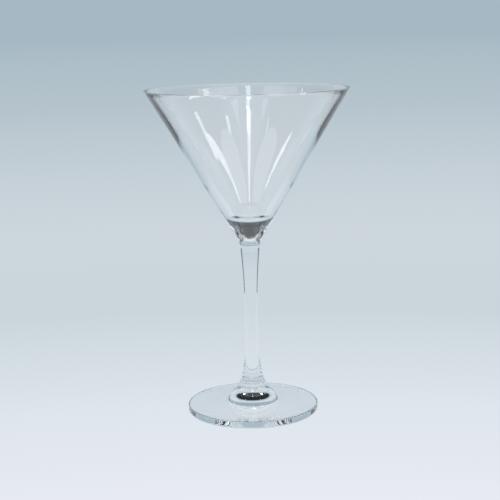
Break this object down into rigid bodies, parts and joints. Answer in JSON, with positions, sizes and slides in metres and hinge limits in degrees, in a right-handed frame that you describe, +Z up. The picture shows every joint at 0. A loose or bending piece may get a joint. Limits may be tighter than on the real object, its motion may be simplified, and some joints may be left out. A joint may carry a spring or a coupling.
{
  "type": "martini glass",
  "caption": "Stemmed cocktail glass: wide conical bowl over a solid glass cone, beaded neck, slim flared stem, collar and round foot with a domed boss.",
  "frame": {"origin": "centre of the foot's rest ring, on the surface that the glass stands on", "axes": "+Z up along the axis of the stem and bowl; the glass is turned, so +X and +Y are any two directions square to it"},
  "size_m": [0.1112, 0.1112, 0.18],
  "materials": {
    "bowl_glass": "clear soda-lime glass, fire polished",
    "stem_glass": "clear soda-lime glass, drawn and fire polished",
    "foot_glass": "clear soda-lime glass, pressed, with faint mould ripples"
  },
  "bodies": {
    "root": {"bowl": "bowl_glass", "bowl_bead": "stem_glass", "stem": "stem_glass", "stem_collar": "stem_glass", "foot": "foot_glass"}
  },
  "joints": []
}
